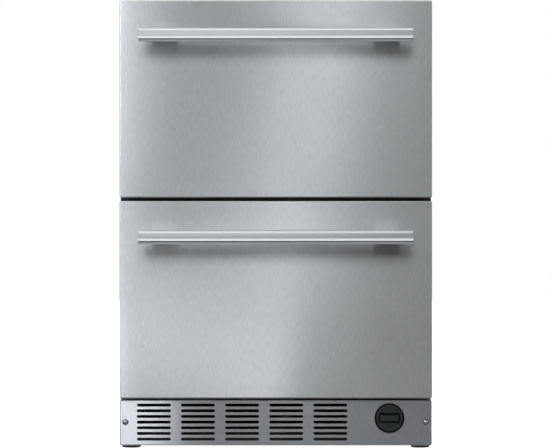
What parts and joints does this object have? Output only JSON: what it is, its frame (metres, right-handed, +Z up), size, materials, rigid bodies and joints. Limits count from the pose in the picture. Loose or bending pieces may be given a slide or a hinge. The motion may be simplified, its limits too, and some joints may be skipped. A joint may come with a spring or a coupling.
{
  "type": "undercounter drawer refrigerator",
  "caption": "Undercounter refrigerator with stacked pull-out cold drawers, bar handles, a slotted toe grille with a temperature knob, and levelling feet.",
  "frame": {"origin": "on the floor, under the middle of the whole object's footprint, from the handles to the back panel", "axes": "+X to the right seen from the front, the drawers open towards -Y, +Z up"},
  "size_m": [0.6064, 0.676, 0.8713],
  "materials": {
    "brushed_stainless": "satin",
    "cabinet_black_paint": "satin",
    "galvanised_sheet": "satin",
    "polyurethane_foam": "matte",
    "white_liner": "satin",
    "black_gasket": "matte",
    "bin_plastic": "satin",
    "handle_aluminium": "satin",
    "black_knob_plastic": "satin",
    "grey_plastic": "matte",
    "black_plastic": "matte",
    "fin_aluminium": "satin",
    "copper_tube": "satin",
    "motor_steel": "satin",
    "compressor_paint": "satin",
    "mount_rubber": "matte",
    "zinc_rail_steel": "satin",
    "screw_steel": "polished",
    "foot_plastic": "matte",
    "lamp_plastic": "gloss"
  },
  "bodies": {
    "root": {"outer_wrap": "cabinet_black_paint", "back_panel": "galvanised_sheet", "base_pan": "cabinet_black_paint", "machine_deck": "galvanised_sheet", "insulation_foam": "polyurethane_foam", "inner_liner": "white_liner", "front_frame": "cabinet_black_paint", "mullion": "cabinet_black_paint", "toe_grille": "brushed_stainless", "grille_screws": "screw_steel", "knob_bezel": "black_plastic", "thermostat": "grey_plastic", "condenser_fins": "fin_aluminium", "condenser_tube": "copper_tube", "fan_shroud": "black_plastic", "condenser_fan_motor": "motor_steel", "compressor_shell": "compressor_paint", "compressor_pump": "motor_steel", "compressor_rubbers": "mount_rubber", "compressor_relay_box": "grey_plastic", "refrigerant_lines": "copper_tube", "evaporator_fins": "fin_aluminium", "evaporator_tube": "fin_aluminium", "evaporator_cover": "white_liner", "evaporator_fan_motor": "grey_plastic", "drain_tube": "white_liner", "drain_pan": "black_plastic", "cavity_lamp": "lamp_plastic", "cord_gland": "black_plastic", "machine_cover": "galvanised_sheet", "cabinet_rails": "zinc_rail_steel", "rail_screws": "screw_steel", "leg_nuts": "zinc_rail_steel"},
    "upper_drawer": {"upper_front_skin": "brushed_stainless", "upper_front_foam": "polyurethane_foam", "upper_front_panel": "white_liner", "upper_gasket": "black_gasket", "upper_bin": "bin_plastic", "upper_handle_bar": "handle_aluminium", "upper_handle_posts": "handle_aluminium", "upper_handle_caps": "handle_aluminium", "upper_drawer_rails": "zinc_rail_steel"},
    "lower_drawer": {"lower_front_skin": "brushed_stainless", "lower_front_foam": "polyurethane_foam", "lower_front_panel": "white_liner", "lower_gasket": "black_gasket", "lower_bin": "bin_plastic", "lower_handle_bar": "handle_aluminium", "lower_handle_posts": "handle_aluminium", "lower_handle_caps": "handle_aluminium", "lower_drawer_rails": "zinc_rail_steel"},
    "upper_middle_slides": {"upper_middle_rails": "zinc_rail_steel"},
    "lower_middle_slides": {"lower_middle_rails": "zinc_rail_steel"},
    "knob": {"thermostat_knob": "black_knob_plastic"},
    "condenser_fan": {"condenser_fan_blade": "black_plastic"},
    "evaporator_fan": {"evaporator_fan_blade": "grey_plastic"},
    "front_left_leg": {"front_left_leg": "foot_plastic"},
    "front_right_leg": {"front_right_leg": "foot_plastic"},
    "rear_left_leg": {"rear_left_leg": "foot_plastic"},
    "rear_right_leg": {"rear_right_leg": "foot_plastic"}
  },
  "joints": [
    {"name": "upper_drawer_slide", "type": "slide", "parent": "root", "child": "upper_drawer", "axis": [0, -1, 0], "range_m": [0, 0.4]},
    {"name": "upper_middle_slide", "type": "slide", "parent": "root", "child": "upper_middle_slides", "axis": [0, -1, 0], "range_m": [0, 0.2]},
    {"name": "lower_drawer_slide", "type": "slide", "parent": "root", "child": "lower_drawer", "axis": [0, -1, 0], "range_m": [0, 0.29]},
    {"name": "lower_middle_slide", "type": "slide", "parent": "root", "child": "lower_middle_slides", "axis": [0, -1, 0], "range_m": [0, 0.145]},
    {"name": "knob_turn", "type": "hinge", "parent": "root", "child": "knob", "pos_m": [0.2208, -0.26, 0.0603], "axis": [0, 1, 0], "range_deg": [-45, 225]},
    {"name": "condenser_fan_spin", "type": "hinge", "parent": "root", "child": "condenser_fan", "pos_m": [-0.11, 0.163, 0.091], "axis": [0, 1, 0], "continuous": true},
    {"name": "evaporator_fan_spin", "type": "hinge", "parent": "root", "child": "evaporator_fan", "pos_m": [0, 0.249, 0.7403], "axis": [0, 1, 0], "continuous": true},
    {"name": "front_left_leg_screw", "type": "slide", "parent": "root", "child": "front_left_leg", "axis": [0, 0, -1], "range_m": [0, 0.025]},
    {"name": "front_right_leg_screw", "type": "slide", "parent": "root", "child": "front_right_leg", "axis": [0, 0, -1], "range_m": [0, 0.025]},
    {"name": "rear_left_leg_screw", "type": "slide", "parent": "root", "child": "rear_left_leg", "axis": [0, 0, -1], "range_m": [0, 0.025]},
    {"name": "rear_right_leg_screw", "type": "slide", "parent": "root", "child": "rear_right_leg", "axis": [0, 0, -1], "range_m": [0, 0.025]}
  ],
  "couplings": [
    {"joint": "upper_middle_slide", "follows": "upper_drawer_slide", "ratio": 0.5},
    {"joint": "lower_middle_slide", "follows": "lower_drawer_slide", "ratio": 0.5}
  ]
}
